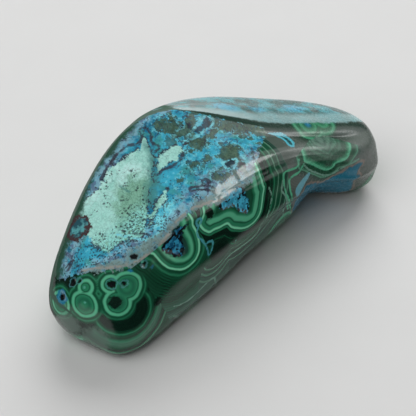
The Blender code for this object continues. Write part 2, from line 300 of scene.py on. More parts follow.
MEANDERS = (
    ((11.7, 16.5), (10.9, 15.6), (8.0, 16.2), (7.6, 15.0), (7.8, 11.8), (10.0, 6.6)),
    ((12.5, 15.4), (11.4, 14.3), (9.3, 14.3), (8.8, 13.0), (9.2, 10.0), (11.1, 5.7)),
)
# Thin pale lines low on the wall, and the dark lens under the far U.
FOOT_LINES = (
    ((1.8, 9.6), (1.8, 6.9), (-0.5, 6.4), (-2.8, 6.9), (-5.3, 7.1), (-7.1, 7.1)),
    ((-9.1, 2.6), (-9.9, 4.9), (-12.4, 4.9), (-15.4, 4.3), (-18.1, 4.6), (-19.8, 5.4)),
    ((-9.1, 2.6), (-11.0, 1.4), (-14.8, 1.5), (-17.7, 1.6), (-19.8, 3.3)),
    ((3.7, 15.7), (4.1, 13.7), (3.2, 11.9), (2.5, 9.9), (1.7, 7.2)),
    ((7.4, 14.9), (6.8, 13.3), (7.5, 11.8), (8.0, 9.6), (8.8, 5.9), (7.3, 4.6)),
    ((12.5, 15.2), (13.6, 13.7), (15.8, 11.6), (17.5, 10.3), (19.0, 9.9), (21.7, 10.4), (24.4, 10.5)),
)
FAR_LENS = (
    (14.4, 15.5), (15.7, 14.2), (17.6, 13.4), (19.8, 12.9), (22.6, 13.2), (20.2, 13.7), (17.3, 14.2),
    (15.6, 15.3))
UNDERCUT = (
    (12.6, 10.5), (16.0, 9.2), (18.5, 9.0), (20.7, 9.5), (22.9, 9.7), (25.4, 9.4), (23.9, 8.2),
    (24.2, 5.1), (24.8, 1.6), (18.0, 1.2), (12.0, 4.0))
WEDGE = ((13.4, 13.0), (10.1, 11.6), (10.6, 9.6), (11.6, 10.7), (13.8, 12.3))

# The fields by name: depth inside outlines, distance to lines, and distance out from shells.
ABOVE_ZONES = {
    "blue_face": (BLUE_FACE,),
    "mint": (MINT_FIELD, MINT_LOBE, MINT_SLIVER),
    "sage": (SAGE_ZONE,),
    "trough": (DEEP_TROUGH,),
    "streak": (AZURE_STREAK,),
    "olive": OLIVE_PATCHES,
    "azure_patch": AZURE_PATCHES,
    "leaf": (LEAF,),
    "navy": NAVY_PATCHES,
}
ABOVE_LINES = {
    "pale_line": PALE_LINES,
    "purple_line": PURPLE_LINES,
    "rim": (RIM_LINE,),
    "crack": (MINT_CRACK,),
}
FRONT_ZONES = {
    "pocket": (POCKET_A, POCKET_B),
    "lens": (FAR_LENS,),
    "undercut": (UNDERCUT,),
    "wedge": (WEDGE,),
}
FRONT_LINES = {"vein": VEIN_LINES, "meander": MEANDERS, "foot_line": FOOT_LINES}
FRONT_SHELLS = {"shell_a": SHELL_A, "shell_b": SHELL_B, "shell_far": SHELL_FAR}
NUCLEI = {
    "eyes": EYES,
    "scallops": SCALLOPS,
    "back_shells": BACK_NUCLEI,
    "core_shells": CORE_SHELLS,
    "envelope": NEAR_SHELLS,
    "near_foot": NEAR_FOOT,
    "dark_spot": DARK_SPOTS,
    "deep_core": DEEP_CORES,
    "pale_dot": PALE_DOTS,
    "blue_core": BLUE_CORES,
}
# What a field says where its side of the stone ends.
FAR_AWAY = 99.0

# ---------------------------------------------------------------------------------------------
# Colours.


def paint(red, green, blue):
    """A colour from its screen values of 0 to 255, as the linear light that materials use."""
    shares = (np.array((red, green, blue)) / 255 + 0.055) / 1.055
    return tuple(float(value) for value in shares ** 2.4)


AZURE = paint(66, 180, 208)
AZURE_DEEP = paint(34, 120, 154)
AZURE_PALE = paint(130, 222, 234)
TEAL = paint(68, 156, 150)
MINT = paint(204, 252, 246)
MINT_SIDE = paint(166, 230, 218)
MINT_SPECKLED = paint(148, 222, 216)
SAGE = paint(134, 190, 166)
TROUGH = paint(72, 138, 134)
OLIVE = paint(66, 92, 78)
OLIVE_PALE = paint(88, 116, 94)
LAVENDER = paint(138, 184, 202)
PLUM = paint(92, 112, 142)
# Painted sheen that lies grey over the brow.
PAINTED_BROW_SHEEN = paint(120, 144, 136)
# Partly the pale crust's own colour along the brow, partly painted highlight.
CRUST_AND_HIGHLIGHT = paint(160, 158, 150)
NAVY = paint(24, 42, 56)
SEAM = paint(62, 56, 68)
LINE_GREY = paint(92, 146, 120)
FOOT_PALE = paint(110, 156, 138)
PALE_BLUE = paint(126, 214, 226)
RIM_GREEN = paint(48, 84, 68)
MALACHITE_BRIGHT = paint(130, 222, 180)
MALACHITE_PALE = paint(88, 182, 142)
MALACHITE_MID = paint(44, 130, 94)
MALACHITE_DEEP = paint(20, 78, 54)
MALACHITE_BLACK = paint(10, 36, 26)
WORM_GREEN = paint(66, 112, 100)
SPECK_GREY = paint(44, 56, 64)
SPOT_RIM = paint(72, 54, 56)
SPOT_DARK = paint(40, 84, 96)
SPOT_LIGHT = paint(96, 176, 180)
TOP_DARK = paint(50, 96, 92)
TOP_TEAL = paint(74, 160, 168)
TOP_AZURE = paint(72, 170, 196)
TOP_BROWN = paint(96, 92, 80)
# Painted reflection along the crest.
CREST_REFLECTION = paint(146, 180, 180)
CREST_GREEN = paint(30, 58, 48)
POCKET_DEEP = paint(20, 84, 118)
POCKET_BLUE = paint(48, 150, 186)
POCKET_BRIGHT = paint(76, 192, 222)
POCKET_PIT = paint(12, 26, 32)
CORE_BLACK = paint(9, 34, 25)
PIT_HALO = paint(84, 150, 160)
# Painted shade in the pits.
PIT_SHADE = paint(8, 16, 18)
DOT_PALE = paint(90, 170, 150)
VEIN_BLUE = paint(72, 156, 166)
# Painted reflection of the floor on the near end's foot.
FLOOR_REFLECTION_GREY = paint(92, 114, 104)
LEAF_BLUE = paint(80, 180, 196)
LEAF_TEAL = paint(30, 84, 84)
UNDERCUT_BLUE = paint(22, 108, 132)
UNDERCUT_BROWN = paint(150, 130, 120)
WEDGE_BLUE = paint(104, 170, 184)
FLOOR = (0.72, 0.72, 0.715)
WHITE = (1.0, 1.0, 1.0)
BLACK = (0.01, 0.01, 0.01)


def power_setting(name, description, default):
    """A light's power in watts."""
    return FloatProperty(name=name, description=description, default=default, min=0.0, unit="POWER")


def colour_setting(name, description, default):
    """A colour as linear light."""
    return FloatVectorProperty(
        name=name, description=description, default=default, subtype="COLOR", min=0.0, max=1.0)


class StoneSettings(bpy.types.PropertyGroup):
    """Sizes and colours of the stone."""

    relief: FloatProperty(
        name="Relief", description="Depth of the polish's slight waves", default=0.07 * MM,
        min=0.0, unit="LENGTH")
    line_spacing: FloatProperty(
        name="Line spacing", description="Distance between the fine lines of malachite",
        default=0.46 * MM, min=0.1 * MM, unit="LENGTH")
    roughness: FloatProperty(
        name="Roughness", description="Roughness of the polish", default=0.11, min=0.0, max=1.0,
        subtype="FACTOR")
    azure: colour_setting("Azure", "Bright blue chrysocolla", AZURE)
    mint: colour_setting("Mint", "Pale green chrysocolla", MINT)
    olive: colour_setting("Olive", "Brownish patches in the blue", OLIVE)


class StageSettings(bpy.types.PropertyGroup):
    """Sizes and strengths of the floor, the lights and the camera."""

    floor_reach: FloatProperty(
        name="Floor reach", description="Half the width of the floor", default=0.6, min=0.1,
        unit="LENGTH")
    key_power: power_setting("Main light", "Power of the main soft light", 8.3)
    roof_power: power_setting("Roof light", "Power of the soft light overhead", 5.7)
    front_power: power_setting("Front light", "Power of the low light on the wall", 0.9)
    room_power: power_setting("Room light", "Power of the dim wall of the room beside the stone", 1.7)
    brow_power: power_setting("Side light", "Power of the light that draws the brow", 0.85)
    surroundings: FloatProperty(
        name="Surroundings", description="Brightness of the dome overhead", default=0.09, min=0.0)
    floor_colour: colour_setting("Floor", "Colour of the floor", FLOOR)


# ---------------------------------------------------------------------------------------------
# The skin.


def station_corners(station):
    """The station's eight corners as x, y, z."""
    place, turn = station[0], math.radians(station[1])
    corners = []
    for corner in station[2:]:
        if len(corner) == 2:
            across, height = corner
            corner = (place + across * math.sin(turn), across * math.cos(turn), height)
        corners.append(corner)
    return np.array(corners)


def control_ring(station):
    """Four net points for each corner: before it, on it, after it, and mid-way to the next."""
    turn = math.radians(station[1])
    along = np.array((math.cos(turn), -math.sin(turn), 0.0))
    corners = station_corners(station)
    points = []
    for number, name in enumerate(CORNERS):
        corner = corners[number]
        before = corners[number - 1] - corner
        after = corners[(number + 1) % len(CORNERS)] - corner
        length_before = np.linalg.norm(before)
        length_after = np.linalg.norm(after)
        rounding = ROUNDING[name]
        if name == "foot" and station[0] > NOOK_PLACE:
            rounding = FAR_FOOT_ROUNDING
        outward = np.cross(after, along)
        outward /= np.linalg.norm(outward)
        points.append(corner + before / length_before * min(rounding, MOST_ROUNDING * length_before))
        points.append(corner)
        points.append(corner + after / length_after * min(rounding, MOST_ROUNDING * length_after))
        points.append(corner + after / 2 + outward * SWELL[name])
    return np.array(points)


def soften(ring, rounds):
    """Move each net point half-way to the mean of its two neighbours, so many times."""
    for _ in range(rounds):
        ring = (np.roll(ring, 1, axis=0) + 2 * ring + np.roll(ring, -1, axis=0)) / 4
    return ring


def end_rings(end, rim):
    """The end's middle point as a ring, then its inner rings, which make a flat-topped dome."""
    middle, facing, inner = np.array(end[0]), np.array(end[1]), end[2]
    facing /= np.linalg.norm(facing)
    reach = rim - middle
    depth = (reach @ facing)[:, None] * facing
    rings = [np.tile(middle, (len(rim), 1))]
    for reach_share, depth_share, rounds in inner:
        ring = middle + (reach - depth) * reach_share + depth * depth_share
        rings.append(soften(ring, rounds))
    return rings


def control_net():
    """All rings of net points, from the middle of the near end to the middle of the far end."""
    body = [soften(control_ring(station), END_SOFTENING.get(number, 0))
            for number, station in enumerate(STATIONS)]
    near = end_rings(NEAR_END, body[0])
    far = end_rings(FAR_END, body[-1])
    return np.array(near + body + far[::-1])


def round_weights(count, places):
    """Cubic B-spline weights of a closed row of net points, one line for each place."""
    start = np.floor(places).astype(int)
    part = places - start
    shares = ((1 - part) ** 3, 3 * part ** 3 - 6 * part ** 2 + 4,
              -3 * part ** 3 + 3 * part ** 2 + 3 * part + 1, part ** 3)
    weights = np.zeros((len(places), count))
    for shift, share in enumerate(shares):
        weights[np.arange(len(places)), (start + shift - 1) % count] += share / 6
    return weights


def open_weights(count, places):
    """Cubic B-spline weights of an open row of net points, which meets its first and last one."""
    knots = np.clip(np.arange(count + 4) - 3, 0, count - 3).astype(float)
    places = np.clip(places, 0, count - 3 - TINY)[:, None]
    weights = ((places >= knots[:-1]) & (places < knots[1:])).astype(float)
    for degree in (1, 2, 3):
        left, right = knots[:-degree - 1], knots[degree + 1:]
        rise = np.maximum(knots[degree:-1] - left, TINY)
        fall = np.maximum(right - knots[1:-degree], TINY)
        weights = weights[:, :-1] * (places - left) / rise + weights[:, 1:] * (right - places) / fall
    return weights


def surface(net, along, around):
    """Points of the B-spline surface: the weights of both directions times the net."""
    return np.einsum("ai,bj,ijk->abk", open_weights(len(net), along),
                     round_weights(net.shape[1], around), net)


def even_steps(places, lengths, count, closed):
    """Places whose steps are equally long: the running length is cut into equal shares."""
    running = np.concatenate(([0.0], np.cumsum(lengths)))
    wanted = np.linspace(0, running[-1], count, endpoint=not closed)
    return np.interp(wanted, running, places)


def grid_places(net):
    """Places along and round the skin, close on the sides that show and wider on the others."""
    along = np.linspace(0, len(net) - 3, COARSE_ALONG)
    around = np.linspace(0, net.shape[1], COARSE_ROUND)
    coarse = surface(net, along, around)
    steps_along = np.linalg.norm(np.diff(coarse, axis=0), axis=2).mean(axis=1)
    steps_round = np.linalg.norm(np.diff(coarse, axis=1), axis=2).mean(axis=0)
    middle = (around[:-1] + around[1:]) / 2
    hidden = (middle > PLACES["foot"] + 2) & (middle < PLACES["shoulder"] - 1)
    steps_round = steps_round * np.where(hidden, HIDDEN_SHARE, 1.0)
    return (even_steps(along, steps_along, RINGS, False),
            even_steps(around, steps_round, POINTS_PER_RING, True))


def fine_skin():
    """The skin's points in mm, level with the sole and centred on the plain solid, and the places
    round the net that they lie at."""
    net = control_net()
    along, around = grid_places(net)
    skin = surface(net, along, around)
    skin[..., 2] = np.maximum(skin[..., 2], 0.0)
    low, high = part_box("stone")
    middle = (np.array(low) + np.array(high)) / 2 / MM
    centre = (skin.min(axis=(0, 1)) + skin.max(axis=(0, 1))) / 2
    skin[..., :2] += (middle - centre)[:2]
    return skin, around


def outward_normals(skin):
    """Unit normals of the grid: the cross product of its steps round and along."""
    along = np.gradient(skin, axis=0)
    around = (np.roll(skin, -1, axis=1) - np.roll(skin, 1, axis=1)) / 2
    normals = np.cross(around, along)
    normals[0] = normals[1].mean(axis=0)
    normals[-1] = normals[-2].mean(axis=0)
    return normals / np.maximum(np.linalg.norm(normals, axis=2, keepdims=True), TINY)


def lumps(points, size, seed, height):
    """Smooth random waves of this height: lattice values of that size, blended by 3t2 - 2t3."""
    lattice = np.random.default_rng(seed).uniform(-1, 1, (LATTICE, LATTICE, LATTICE))
    cell = np.floor(points / size).astype(int)
    part = points / size - cell
    part = part * part * (3 - 2 * part)
    total = np.zeros(points.shape[:-1])
    for corner in np.ndindex(2, 2, 2):
        share = np.prod(np.where(np.array(corner) == 1, part, 1 - part), axis=-1)
        x, y, z = np.moveaxis((cell + corner) % LATTICE, -1, 0)
        total += share * lattice[x, y, z]
    return height * total


# ---------------------------------------------------------------------------------------------
# Fields of the pattern.


def rounded(outline, closed=True, steps=5):
    """A curve through the points: a Catmull-Rom spline, which takes each pair's neighbours too."""
    points = np.array(outline, float)
    if closed:
        ends = (points[-1:], points[:2])
    else:
        ends = (2 * points[:1] - points[1:2], 2 * points[-1:] - points[-2:-1])
    row = np.concatenate((ends[0], points, ends[1]))
    part = (np.arange(steps) / steps)[:, None]
    pieces = []
    for before, start, end, after in zip(row, row[1:], row[2:], row[3:]):
        pieces.append(0.5 * (2 * start + (end - before) * part
                             + (2 * before - 5 * start + 4 * end - after) * part ** 2
                             + (3 * start - before - 3 * end + after) * part ** 3))
    tail = points[:1] if closed else points[-1:]
    return np.concatenate(pieces + [tail])


def distance_to_line(places, line):
    """Shortest distance from each place to a line of straight pieces."""
    nearest = np.full(places.shape[:-1], np.inf)
    for start, end in zip(line, line[1:]):
        piece = end - start
        reach = places - start
        share = np.clip(reach @ piece / max(piece @ piece, TINY), 0, 1)
        nearest = np.minimum(nearest, np.linalg.norm(reach - share[..., None] * piece, axis=-1))
    return nearest


def depth_inside(places, outline):
    """Distance to a closed outline: positive inside it, negative outside."""
    line = rounded(outline)
    inside = np.zeros(places.shape[:-1], bool)
    for start, end in zip(line, line[1:]):
        crosses = (start[1] > places[..., 1]) != (end[1] > places[..., 1])
        rise = end[1] - start[1] if abs(end[1] - start[1]) > TINY else TINY
        inside ^= crosses & (places[..., 0] < start[0] + (places[..., 1] - start[1])
                             * (end[0] - start[0]) / rise)
    return np.where(inside, 1, -1) * distance_to_line(places, line)


def deepest(places, outlines):
    """The largest depth inside any of the outlines."""
    return np.max([depth_inside(places, outline) for outline in outlines], axis=0)


def nearest_line(places, lines):
    """The shortest distance to any of the open lines."""
    return np.min([distance_to_line(places, rounded(line, False)) for line in lines], axis=0)


def nearest_shell(points, nuclei):
    """Distance out from the nearest nucleus's bright shell: |point - middle| - radius."""
    return np.min([np.linalg.norm(points - np.array(middle), axis=-1) - radius
                   for middle, radius in nuclei], axis=0)


def pattern_fields(points, around):
    """Every field of the pattern in mm, by name, at the skin's points."""
    above = points[..., :2]
    front = points[..., (0, 2)]
    round_place = np.broadcast_to(around, points.shape[:-1])
    upper = (round_place < PLACES["lower_brow"]) | (round_place > PLACES["shoulder"] + 1)
    wall = (round_place > PLACES["upper_brow"] - 2) & (round_place < PLACES["sole_back"] - 1)
    half_way = PLACES_ROUND / 2
    from_crest = (round_place - PLACES["crest"] + half_way) % PLACES_ROUND - half_way
    fields = {
        "round": from_crest,
        "teal_eye": -nearest_shell(above, TEAL_EYE),
        "top_blue": np.where(from_crest < 0, -nearest_shell(above, TOP_BACK_BLUES), -FAR_AWAY),
    }
    for side, places, zones, lines in ((upper, above, ABOVE_ZONES, ABOVE_LINES),
                                       (wall, front, FRONT_ZONES, FRONT_LINES)):
        for name, outlines in zones.items():
            fields[name] = np.where(side, deepest(places, outlines), -FAR_AWAY)
        for name, group in lines.items():
            fields[name] = np.where(side, nearest_line(places, group), FAR_AWAY)
    for name, outline in FRONT_SHELLS.items():
        fields[name] = np.where(wall, -depth_inside(front, outline), FAR_AWAY)
    for name, nuclei in NUCLEI.items():
        fields[name] = nearest_shell(points, nuclei)
    return fields


def relief_heights(points, fields, relief):
    """Height of the polish's waves in mm: broad lumps, fine ones along the brow, a dip at each
    dark pit and at each blue pocket, and nothing near the sole."""
    waves = lumps(points, *BROAD_WAVES) + lumps(points, *FINER_WAVES)
    near_brow = np.exp(-(((fields["round"] - BROW_MIDDLE) / BROW_WIDTH) ** 2))
    brow = lumps(points, *BROW_WAVES) * near_brow
    pits = PIT_DEPTH * np.exp(-((np.maximum(fields["dark_spot"] + PIT_START, 0) / PIT_SLOPE) ** 2))
    pockets = POCKET_DEPTH * np.clip((fields["pocket"] + POCKET_START) / POCKET_SLOPE, 0, 1)
    share = np.clip((points[..., 2] - CALM_HEIGHT) / CALM_SLOPE, 0, 1)
    return (relief / MM * (waves + brow) - pits - pockets) * share


def make_mesh(name, skin):
    """A closed mesh from rings of points; the first and last ring become one point each."""
    rings, count = skin.shape[:2]
    first = np.arange(count)
    second = np.roll(first, -1)
    last = (rings - 3) * count
    near_point = (rings - 2) * count
    far_point = near_point + 1
    ring = np.arange(rings - 3)[:, None] * count
    a, b = (ring + first).ravel(), (ring + second).ravel()
    c, d = b + count, a + count
    quads = np.stack((a, b, c, d), axis=1)
    near = np.stack((np.full(count, near_point), second, first), axis=1)
    far = np.stack((np.full(count, far_point), last + first, last + second), axis=1)
    mesh = bpy.data.meshes.new(name)
    points = np.concatenate((skin[1:-1].reshape(-1, 3), skin[0, :1], skin[-1, :1]))
    mesh.from_pydata((points * MM).tolist(), [], quads.tolist() + near.tolist() + far.tolist())
    mesh.shade_smooth()
    return mesh


def keep_field(mesh, name, values):
    """Store one field as a point attribute, in the order that make_mesh gives the points."""
    row = np.concatenate((values[1:-1].ravel(), values[0, :1], values[-1, :1]))
    attribute = mesh.attributes.new(name, "FLOAT", "POINT")
    attribute.data.foreach_set("value", row.astype(np.float32))


# ---------------------------------------------------------------------------------------------
# Materials.


# How a shift moves the noise along Y and Z, and the share of a line's half width that is full.
SHIFT_Y, SHIFT_Z = 0.7, 1.3
LINE_CORE = 0.35


class Value:
    """A number in a material: arithmetic on it adds Math nodes."""

    def __init__(self, nodes, socket):
        self.nodes = nodes
        self.socket = socket

    def maths(self, operation, first, second=0.0):
        return self.nodes.add("ShaderNodeMath", {"operation": operation}, {0: first, 1: second})

    def __add__(self, other):
        return self.maths("ADD", self, other)

    __radd__ = __add__

    def __sub__(self, other):
        return self.maths("SUBTRACT", self, other)

    def __rsub__(self, other):
        return self.maths("SUBTRACT", other, self)

    def __mul__(self, other):
        return self.maths("MULTIPLY", self, other)

    __rmul__ = __mul__

    def __truediv__(self, other):
        return self.maths("DIVIDE", self, other)

    def __abs__(self):
        return self.maths("ABSOLUTE", self)

    def least(self, other):
        return self.maths("MINIMUM", self, other)

    def most(self, other):
        return self.maths("MAXIMUM", self, other)

    def sine(self):
        return self.maths("SINE", self)


class Nodes:
    """The node tree of a material or a world, and the few ways in which nodes are added to it."""

    def __init__(self, owner):
        owner.use_nodes = True
        self.tree = owner.node_tree
        self.shader = self.tree.nodes.get("Principled BSDF")
        self.place = self.add("ShaderNodeTexCoord", {}, {}, "Object")

    def add(self, kind, settings, values, output=0):
        """A node of this type: its settings first, then the values or links of its sockets."""
        node = self.tree.nodes.new(kind)
        for name, setting in settings.items():
            if name == "stops":
                fill_ramp(node.color_ramp, setting)
            else:
                setattr(node, name, setting)
        for key, value in values.items():
            self.feed(node.inputs[key], value)
        return Value(self, node.outputs[output])

    def feed(self, socket, value):
        """Link a value to a socket, or set the socket's own number or colour."""
        if isinstance(value, Value):
            self.tree.links.new(value.socket, socket)
        elif isinstance(value, tuple) and len(value) == 3 and socket.type == "RGBA":
            socket.default_value = (*value, 1.0)
        else:
            socket.default_value = value

    def finish(self, inputs):
        """Feed the inputs of the material's shader."""
        for name, value in inputs.items():
            self.feed(self.shader.inputs[name], value)

    def field(self, name):
        """A field of the skin, in mm."""
        return self.add("ShaderNodeAttribute", {"attribute_name": name}, {}, "Fac")

    def axis(self, number):
        """The place along X, Y or Z, as number 0, 1 or 2, in mm."""
        return self.add("ShaderNodeSeparateXYZ", {}, {0: self.place}, number) / MM

    def moved(self, shift):
        """The place, moved so that each noise shows another part of the same random field."""
        return self.add("ShaderNodeVectorMath", {"operation": "ADD"},
                        {0: self.place, 1: (shift, shift * SHIFT_Y, shift * SHIFT_Z)})

    def noise(self, size, detail=2.0, shift=0.0, rough=0.5):
        """Noise with lumps of this size in mm, mostly from -1 to 1: four times what is over 0.5."""
        value = self.add("ShaderNodeTexNoise", {},
                         {"Vector": self.moved(shift), "Scale": 1 / (size * MM), "Detail": detail,
                          "Roughness": rough})
        return value * 4 - 2

    def grains(self, size, shift):
        """Distance to the nearest of scattered grains this far apart in mm, from 0 to about 1."""
        return self.add("ShaderNodeTexVoronoi", {},
                        {"Vector": self.moved(shift), "Scale": 1 / (size * MM)})

    def rise(self, value, low, high):
        """0 below low, 1 above high, smooth between them."""
        return self.add("ShaderNodeMapRange", {"interpolation_type": "SMOOTHSTEP"},
                        {"Value": value, "From Min": low, "From Max": high})

    def line(self, value, middle, half):
        """1 where the value is at the middle, 0 from half away."""
        return 1 - self.rise(abs(value - middle), half * LINE_CORE, half)

    def blend(self, share, first, second):
        """From the first colour to the second as the share goes from 0 to 1."""
        return self.add("ShaderNodeMix", {"data_type": "RGBA"}, {0: share, 6: first, 7: second}, 2)

    def shade(self, colour, amount):
        """The colour times a number."""
        return self.add("ShaderNodeVectorMath", {"operation": "SCALE"}, {0: colour, "Scale": amount})

    def ramp(self, value, stops):
        """Colours along a range in mm, as stops of (place in mm, colour)."""
        low, high = stops[0][0], stops[-1][0]
        share = (value - low) / (high - low)
        scaled = [((place - low) / (high - low), colour) for place, colour in stops]
        return self.add("ShaderNodeValToRGB", {"stops": scaled}, {0: share})


class Coat:
    """A colour in the making: each layer is laid over what is there."""

    def __init__(self, nodes, colour):
        self.nodes = nodes
        self.colour = colour

    def lay(self, share, colour):
        """Lay a colour over the coat, from none of it at a share of 0 to nothing else at 1."""
        self.colour = self.nodes.blend(share, self.colour, colour)


def fill_ramp(ramp, stops):
    """Put the stops, as (place, colour), into a colour ramp."""
    while len(ramp.elements) < len(stops):
        ramp.elements.new(1.0)
    for element, (place, colour) in zip(ramp.elements, stops):
        element.position = place
        element.color = (*colour, 1.0)


SHELL_A_BANDS = (
    (-3.1, paint(22, 64, 60)), (-2.4, paint(30, 72, 62)), (-2.0, MALACHITE_MID), (-1.6, MALACHITE_PALE),
    (-1.35, MALACHITE_PALE), (-1.05, paint(36, 106, 76)), (-0.8, MALACHITE_DEEP), (-0.5, MALACHITE_MID),
    (-0.25, paint(40, 122, 88)), (-0.08, MALACHITE_BRIGHT), (0.08, MALACHITE_BRIGHT),
    (0.25, MALACHITE_DEEP), (0.6, MALACHITE_DEEP), (0.9, MALACHITE_MID), (1.3, MALACHITE_DEEP),
    (3.0, paint(18, 66, 46)), (5.0, paint(24, 76, 54)), (5.3, paint(18, 64, 44)),
    (7.4, paint(46, 104, 80)), (7.8, paint(30, 72, 56)), (9.0, paint(70, 114, 96)),
    (10.0, paint(36, 74, 60)))
SHELL_B_BANDS = (
    (-4.2, paint(26, 70, 60)), (-3.4, paint(26, 84, 62)), (-2.7, MALACHITE_DEEP), (-2.2, MALACHITE_MID),
    (-1.9, MALACHITE_PALE), (-1.3, MALACHITE_PALE), (-1.0, MALACHITE_DEEP), (-0.75, MALACHITE_MID),
    (-0.3, MALACHITE_MID), (-0.1, MALACHITE_BRIGHT), (0.1, MALACHITE_BRIGHT), (0.25, MALACHITE_DEEP),
    (0.5, MALACHITE_MID), (0.75, MALACHITE_BLACK), (1.5, MALACHITE_BLACK), (1.75, MALACHITE_DEEP),
    (2.0, MALACHITE_BLACK), (2.5, MALACHITE_DEEP), (2.75, MALACHITE_MID), (3.0, MALACHITE_DEEP),
    (3.6, MALACHITE_DEEP), (3.8, LINE_GREY), (4.05, MALACHITE_DEEP), (4.8, MALACHITE_DEEP),
    (5.0, LINE_GREY), (5.25, paint(30, 64, 52)), (6.2, paint(36, 76, 62)), (6.4, LINE_GREY),
    (6.65, paint(40, 76, 64)), (8.0, paint(44, 84, 70)), (9.0, paint(60, 100, 84)))
CORE_BANDS = (
    (-1.6, MALACHITE_BLACK), (0.3, MALACHITE_BLACK), (1.0, MALACHITE_DEEP), (2.2, paint(26, 66, 50)),
    (2.5, LINE_GREY), (2.8, paint(30, 66, 52)), (3.3, paint(40, 84, 68)), (3.6, LINE_GREY),
    (3.9, paint(38, 76, 62)), (4.6, paint(52, 92, 76)), (4.8, LINE_GREY), (5.1, paint(48, 84, 70)),
    (6.5, paint(60, 100, 84)))
NEAR_BANDS = (
    (1.0, MALACHITE_BLACK), (2.4, MALACHITE_BLACK), (2.7, MALACHITE_DEEP), (3.0, MALACHITE_BLACK),
    (4.2, MALACHITE_BLACK), (4.6, MALACHITE_DEEP), (4.8, MALACHITE_MID), (5.0, MALACHITE_DEEP),
    (5.4, paint(20, 62, 44)), (5.6, MALACHITE_DEEP), (5.9, MALACHITE_MID), (6.2, paint(62, 118, 94)),
    (6.8, paint(56, 108, 86)), (7.05, MALACHITE_DEEP), (7.7, MALACHITE_BLACK), (8.0, MALACHITE_MID),
    (8.2, LINE_GREY), (8.45, MALACHITE_DEEP), (10.0, MALACHITE_DEEP))
EYE_BANDS = (
    (-2.4, MALACHITE_DEEP), (-1.8, MALACHITE_MID), (-1.2, paint(33, 102, 76)), (-0.6, MALACHITE_MID),
    (-0.45, MALACHITE_DEEP), (-0.2, MALACHITE_PALE), (0.05, MALACHITE_PALE), (0.3, MALACHITE_DEEP),
    (0.55, MALACHITE_DEEP), (0.8, MALACHITE_MID), (1.0, MALACHITE_DEEP), (1.5, MALACHITE_BLACK),
    (3.2, MALACHITE_BLACK), (3.6, paint(16, 50, 36)), (4.0, paint(12, 36, 26)),
    (4.4, paint(40, 88, 66)), (5.4, MALACHITE_PALE), (5.8, paint(36, 74, 58)), (6.3, MALACHITE_MID),
    (6.6, paint(30, 62, 50)))
# The greys at the outer end of these bands are partly the stone's grey-green and partly painted
# reflection of the grey sheen over the far part.
FAR_BANDS = (
    (-5.6, paint(84, 108, 98)), (-4.6, paint(92, 116, 106)), (-4.3, paint(72, 102, 90)),
    (-4.0, paint(96, 128, 114)), (-3.7, paint(70, 100, 88)), (-3.3, paint(94, 132, 114)),
    (-3.0, paint(64, 98, 84)), (-2.7, paint(84, 132, 110)), (-2.4, paint(54, 92, 74)),
    (-2.0, paint(72, 118, 96)), (-1.6, paint(44, 84, 66)), (-0.9, MALACHITE_DEEP),
    (-0.4, MALACHITE_MID), (-0.1, MALACHITE_PALE), (0.1, MALACHITE_PALE), (0.3, MALACHITE_DEEP),
    (0.9, MALACHITE_DEEP), (1.3, paint(66, 118, 94)), (1.5, paint(92, 158, 130)),
    (1.7, paint(58, 88, 76)), (2.5, paint(80, 94, 88)), (4.0, paint(84, 94, 88)))
SCALLOP_BANDS = (
    (-2.6, AZURE_DEEP), (-2.0, paint(36, 104, 76)), (-1.3, paint(64, 146, 108)),
    (-0.9, paint(34, 96, 68)), (-0.5, paint(40, 108, 78)), (-0.1, paint(76, 158, 120)),
    (0.15, paint(62, 136, 104)), (0.4, MALACHITE_DEEP), (0.9, paint(46, 66, 56)),
    (2.2, paint(78, 92, 84)))
BACK_BANDS = (
    (-4.0, MALACHITE_MID), (-3.2, MALACHITE_PALE), (-2.8, MALACHITE_DEEP), (-2.0, MALACHITE_MID),
    (-1.6, MALACHITE_BRIGHT), (-1.3, MALACHITE_DEEP), (-0.4, MALACHITE_BLACK), (0.2, MALACHITE_MID),
    (0.6, MALACHITE_DEEP), (1.4, MALACHITE_MID), (1.8, MALACHITE_PALE), (2.1, MALACHITE_DEEP),
    (3.6, MALACHITE_BLACK), (5.2, MALACHITE_MID), (5.5, MALACHITE_DEEP))


# Groups of shells as (field, bands, mm that the group stands back, the nearest it comes to the
# front, strength of its fine lines, half width of its seam with the groups before it). At each
# place the group with the smallest field shows.
SHELL_GROUPS = (
    ("shell_a", SHELL_A_BANDS, 0.0, -FAR_AWAY, 1.0, 0.04),
    ("shell_b", SHELL_B_BANDS, -0.3, -FAR_AWAY, 0.6, 0.04),
    ("core_shells", CORE_BANDS, 1.2, -FAR_AWAY, 0.5, 0.04),
    ("envelope", NEAR_BANDS, -0.6, 3.9, 0.5, 0.04),
    ("eyes", EYE_BANDS, 3.0, -FAR_AWAY, 0.4, 0.5),
    ("shell_far", FAR_BANDS, 2.0, -FAR_AWAY, 0.3, 0.04),
    ("scallops", SCALLOP_BANDS, -1.5, -FAR_AWAY, 0.15, 0.04),
    ("back_shells", BACK_BANDS, 6.0, -FAR_AWAY, 0.6, 0.04),
)
# The fine lines: waves, and weaker waves this many times as close.
WAVE_STRENGTH, CLOSE_WAVE_STRENGTH = 0.3, 0.14
CLOSER = 2.65


